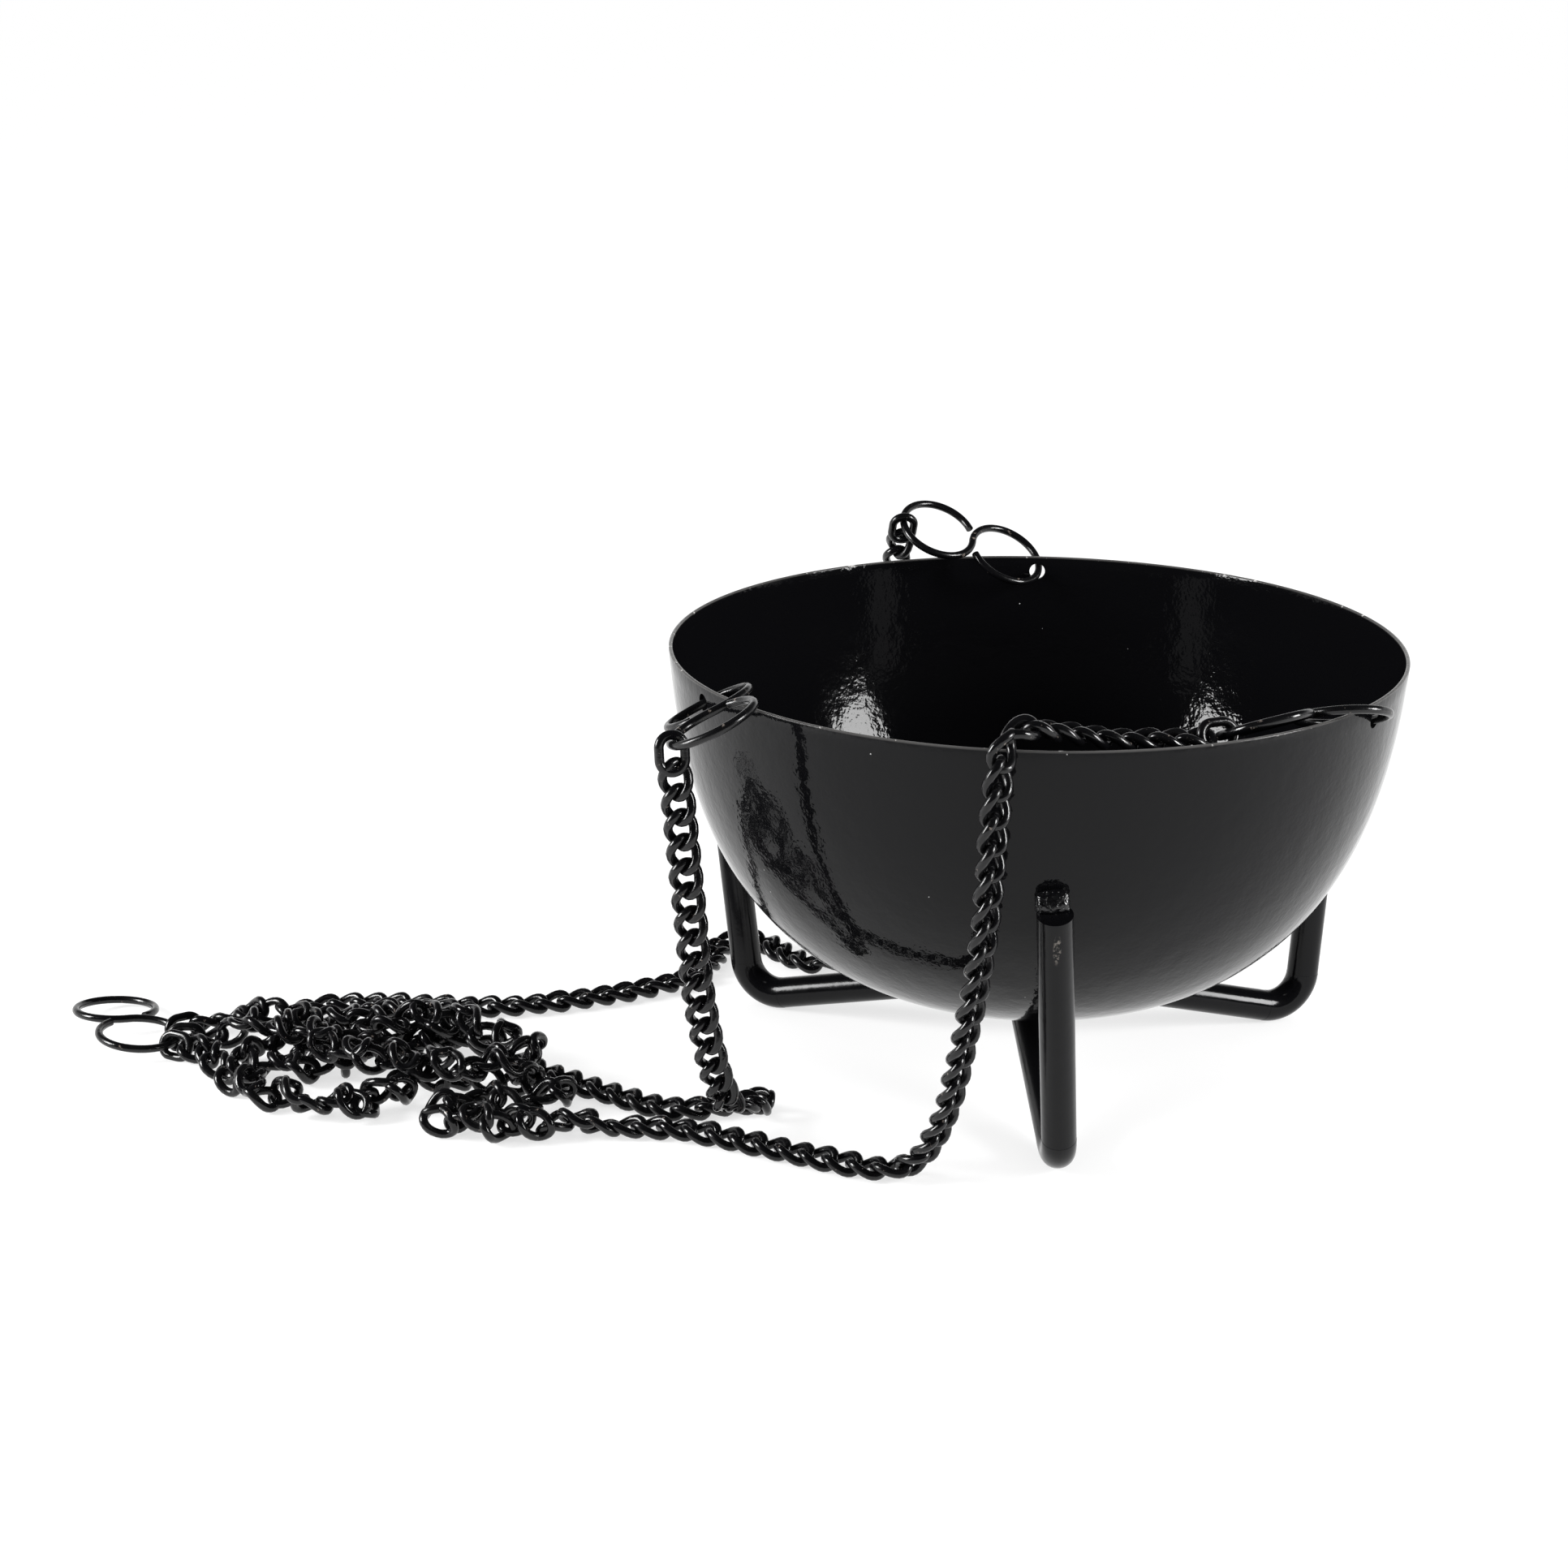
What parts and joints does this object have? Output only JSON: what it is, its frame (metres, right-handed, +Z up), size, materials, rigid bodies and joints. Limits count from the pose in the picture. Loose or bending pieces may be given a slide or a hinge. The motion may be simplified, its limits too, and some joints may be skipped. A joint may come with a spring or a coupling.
{
  "type": "hanging brazier bowl",
  "caption": "Round-bottomed black steel bowl on bent-rod legs, with curb chains on S-hooks through its rim and a gathering S-hook to hang it by.",
  "frame": {"origin": "on the bowl's axis, at the level of the ground that the legs stand on", "axes": "+Z up along the bowl's axis, -Y towards the front leg, the chains' free ends lie towards -X"},
  "size_m": [0.4182, 0.2408, 0.1548],
  "materials": {
    "bowl_enamel": "glossy black powder coat, faint orange peel",
    "leg_paint": "glossy black powder coat over round bar",
    "weld_paint": "rough weld under black powder coat",
    "hook_wire": "glossy black coated wire",
    "chain_steel": "glossy black coated links"
  },
  "bodies": {
    "stand": {"bowl_shell": "bowl_enamel", "leg_front": "leg_paint", "leg_left": "leg_paint", "leg_right": "leg_paint", "weld_top_front": "weld_paint", "weld_top_left": "weld_paint", "weld_top_right": "weld_paint", "weld_base_front": "weld_paint", "weld_base_left": "weld_paint", "weld_base_right": "weld_paint", "chain_left": "chain_steel", "chain_back": "chain_steel", "chain_right": "chain_steel"},
    "left_hook": {"hook_left": "hook_wire", "link_left": "chain_steel"},
    "back_hook": {"hook_back": "hook_wire", "link_back": "chain_steel"},
    "right_hook": {"hook_right": "hook_wire", "link_right": "chain_steel"},
    "top_hook": {"gather_hook": "hook_wire", "end_left": "chain_steel", "end_back": "chain_steel", "end_right": "chain_steel"}
  },
  "joints": [
    {"name": "left_hook_swing", "type": "hinge", "parent": "stand", "child": "left_hook", "pos_m": [-0.0924, -0.0574, 0.1308], "axis": [-0.848, -0.53, 0], "range_deg": [0, 110]},
    {"name": "back_hook_swing", "type": "hinge", "parent": "stand", "child": "back_hook", "pos_m": [0.0004, 0.1088, 0.131], "axis": [0, 1, 0], "range_deg": [0, 120]},
    {"name": "right_hook_swing", "type": "hinge", "parent": "stand", "child": "right_hook", "pos_m": [0.0941, -0.0557, 0.1309], "axis": [-0.8615, 0.5077, 0], "range_deg": [0, 90]},
    {"name": "top_hook_lift", "type": "hinge", "parent": "stand", "child": "top_hook", "pos_m": [-0.2625, -0.021, 0.0038], "axis": [-0.1302, 0.9915, 0], "range_deg": [0, 80]}
  ]
}
